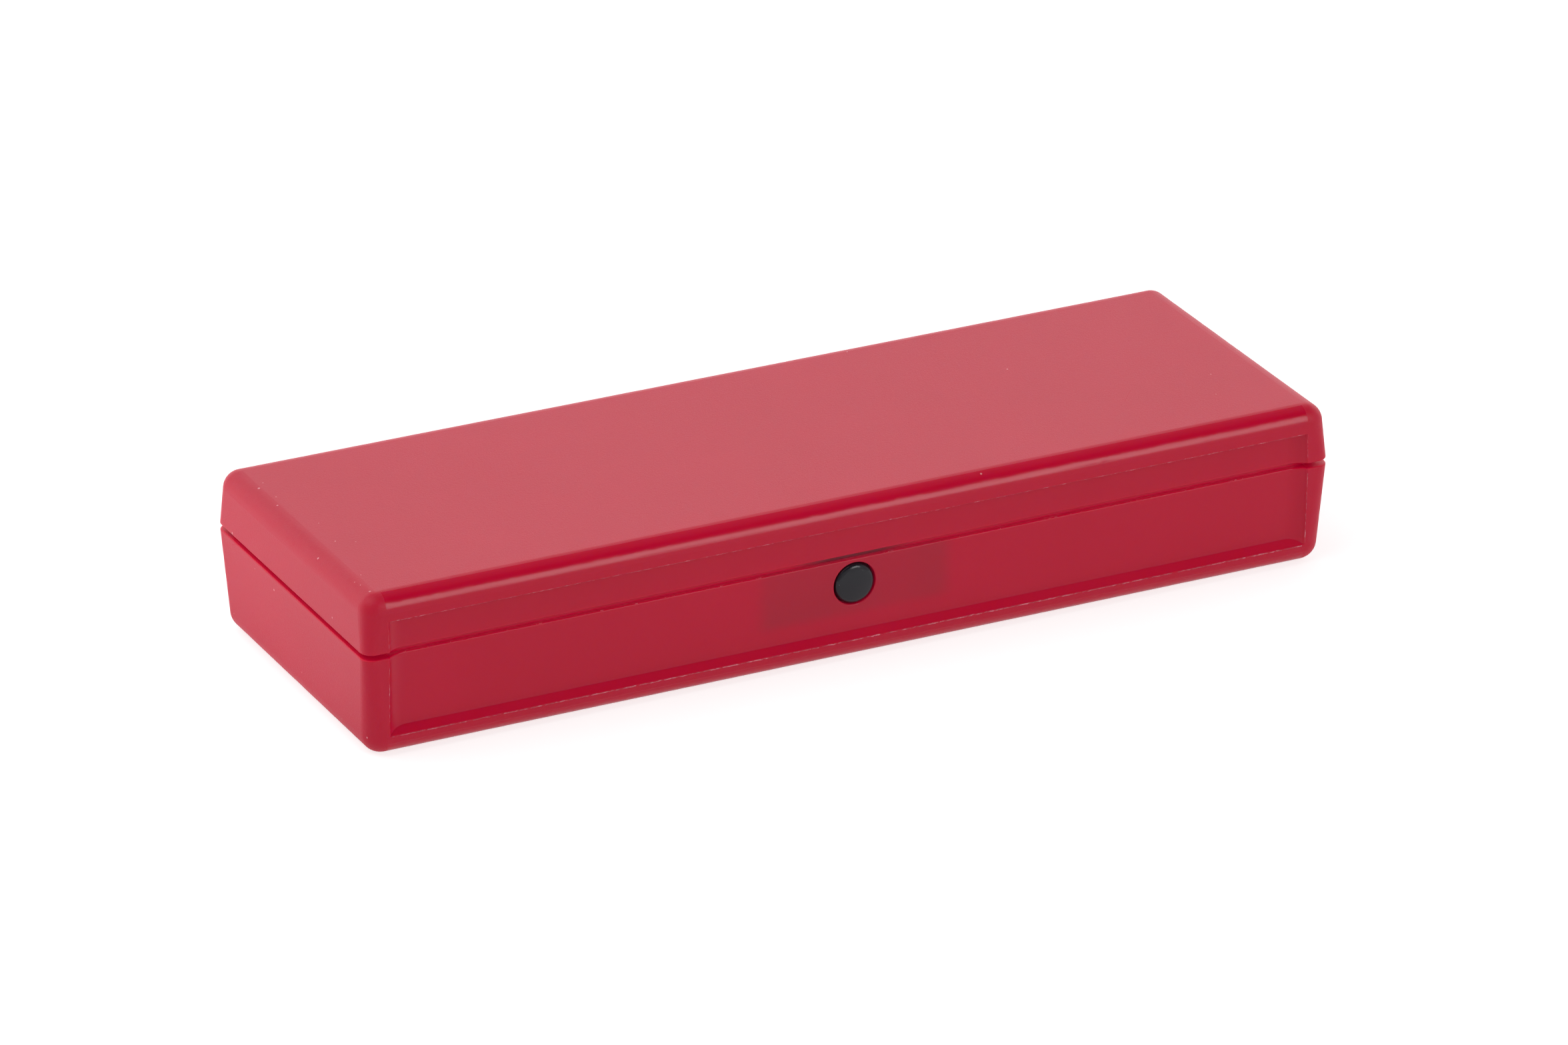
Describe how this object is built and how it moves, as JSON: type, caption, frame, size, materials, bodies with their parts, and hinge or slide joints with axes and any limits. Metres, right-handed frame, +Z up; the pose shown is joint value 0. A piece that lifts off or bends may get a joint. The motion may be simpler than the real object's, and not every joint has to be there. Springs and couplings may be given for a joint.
{
  "type": "pencil case",
  "caption": "Long shallow hinged plastic pencil case with a sunken front panel and a round push-button catch.",
  "frame": {"origin": "centre of the two shells' plan on the flat underside", "axes": "+X along the length, to the right as seen from the front; the front with the button faces -Y; +Z up"},
  "size_m": [0.2, 0.0732, 0.0322],
  "materials": {
    "red_shell": "satin",
    "black_catch": "satin",
    "pin_steel": "drawn wire",
    "spring_steel": "blued strip"
  },
  "bodies": {
    "base": {"lower_shell": "red_shell", "latch_cover": "red_shell", "hinge_pin_left": "pin_steel", "hinge_pin_right": "pin_steel"},
    "lid": {"lid_shell": "red_shell"},
    "catch": {"push_button": "black_catch", "latch_slider": "black_catch", "latch_spring": "spring_steel"}
  },
  "joints": [
    {"name": "lid_hinge", "type": "hinge", "parent": "base", "child": "lid", "pos_m": [0, 0.0357, 0.0207], "axis": [-1, 0, 0], "range_deg": [0, 110]},
    {"name": "button_press", "type": "slide", "parent": "base", "child": "catch", "axis": [0, 1, 0], "range_m": [0, 0.0015], "stiffness_N_per_m": 1500, "springref_m": -0.0008, "deforming": ["latch_spring"]}
  ]
}
